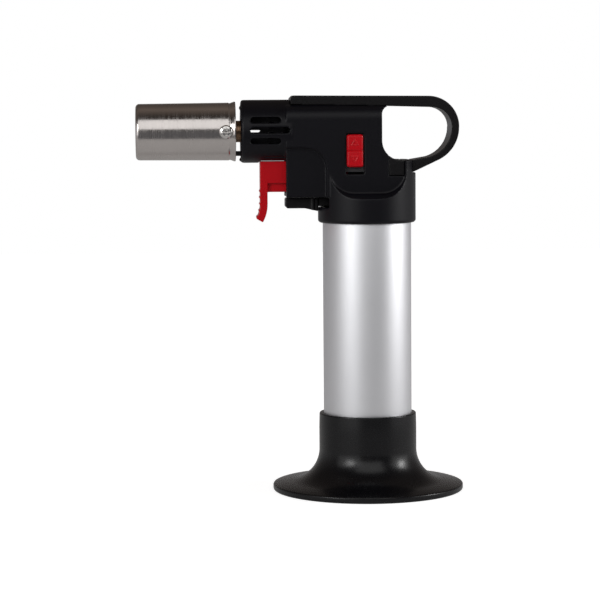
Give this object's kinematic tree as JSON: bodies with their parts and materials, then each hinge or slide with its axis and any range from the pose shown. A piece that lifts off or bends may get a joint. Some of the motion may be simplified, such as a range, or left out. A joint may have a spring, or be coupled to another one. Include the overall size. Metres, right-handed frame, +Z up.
{
  "type": "butane torch",
  "caption": "Free-standing butane hand torch: aluminium tank on a flared base, black head with finger loop, pull trigger, lock slider, flame lever and steel burner tube.",
  "frame": {"origin": "centre of the base's underside, on the tank's axis, at table height", "axes": "+Z up the tank; the barrel points along -X, so +X is towards the finger loop; +Y is the side without the slider"},
  "size_m": [0.1398, 0.0822, 0.1701],
  "materials": {
    "base_black": "satin-gloss moulding",
    "head_black": "fine satin moulding",
    "strap_black": "satin-gloss moulding",
    "trigger_red": "satin moulding",
    "tank_aluminium": "satin anodised",
    "stainless": "brushed round the tube",
    "bright_steel": "machined",
    "dark_steel": "black oxide",
    "spring_steel": "drawn wire",
    "brass": "turned",
    "heated_brass": "heat-darkened",
    "natural_plastic": "natural moulding",
    "dark_plastic": "matte",
    "wick_cotton": "felted",
    "seal_rubber": "matte",
    "lead_insulation": "satin sleeve",
    "white_ceramic": "fired ceramic, matte glaze"
  },
  "bodies": {
    "torch_body": {"base_stand": "base_black", "tank_sleeve": "tank_aluminium", "fuel_reservoir": "natural_plastic", "reservoir_cap": "natural_plastic", "fuel_wick": "wick_cotton", "valve_filter": "wick_cotton", "refill_valve_body": "brass", "refill_spring": "spring_steel", "refill_seal": "seal_rubber", "main_valve_body": "brass", "valve_spring": "spring_steel", "stem_seal": "seal_rubber", "adjuster_clip": "bright_steel", "lever_pin": "bright_steel", "housing_left": "head_black", "housing_right": "head_black", "housing_screws": "dark_steel", "top_strap": "strap_black", "trigger_spring": "spring_steel", "piezo_igniter": "dark_plastic", "ignition_lead": "lead_insulation", "slider_detent": "bright_steel", "gas_hose": "natural_plastic", "jet_holder": "dark_steel", "gas_jet": "brass", "mixing_tube": "heated_brass", "burner_mount": "stainless", "burner_head": "brass", "flame_holder": "stainless", "ceramic_insulator": "white_ceramic", "spark_electrode": "bright_steel", "barrel": "stainless", "barrel_screws": "bright_steel"},
    "trigger": {"trigger": "trigger_red"},
    "piezo_plunger": {"piezo_plunger": "natural_plastic"},
    "valve_lever": {"valve_lever": "natural_plastic"},
    "valve_stem": {"valve_stem": "brass"},
    "lock_slider": {"lock_slider": "trigger_red", "slider_catch": "dark_plastic"},
    "flame_adjuster": {"flame_adjust_lever": "strap_black"},
    "refill_stem": {"refill_valve_stem": "brass"}
  },
  "joints": [
    {"name": "trigger_pull", "type": "slide", "parent": "torch_body", "child": "trigger", "axis": [1, 0, 0], "range_m": [0, 0.0055], "stiffness_N_per_m": 400, "springref_m": -0.004, "deforming": ["trigger_spring"]},
    {"name": "piezo_push", "type": "slide", "parent": "torch_body", "child": "piezo_plunger", "axis": [1, 0, 0], "range_m": [0, 0.0055]},
    {"name": "valve_rocker", "type": "hinge", "parent": "torch_body", "child": "valve_lever", "pos_m": [-0.0075, 0, 0.13215], "axis": [0, 1, 0], "range_deg": [0, 9.18]},
    {"name": "valve_open", "type": "slide", "parent": "torch_body", "child": "valve_stem", "axis": [0, 0, -1], "range_m": [0, 0.0012], "deforming": ["valve_spring"]},
    {"name": "slider_lock", "type": "slide", "parent": "torch_body", "child": "lock_slider", "axis": [0, 0, -1], "range_m": [0, 0.0027]},
    {"name": "flame_adjust", "type": "hinge", "parent": "torch_body", "child": "flame_adjuster", "pos_m": [0, 0, 0.124], "axis": [0, 0, 1], "range_deg": [-20, 20]},
    {"name": "refill_push", "type": "slide", "parent": "torch_body", "child": "refill_stem", "axis": [0, 0, 1], "range_m": [0, 0.0015], "stiffness_N_per_m": 150, "springref_m": -0.003, "deforming": ["refill_spring"]}
  ],
  "couplings": [
    {"joint": "piezo_push", "follows": "trigger_pull", "ratio": 1},
    {"joint": "valve_rocker", "follows": "trigger_pull", "rad_per_m": 29.091},
    {"joint": "valve_open", "follows": "trigger_pull", "ratio": 0.218}
  ]
}
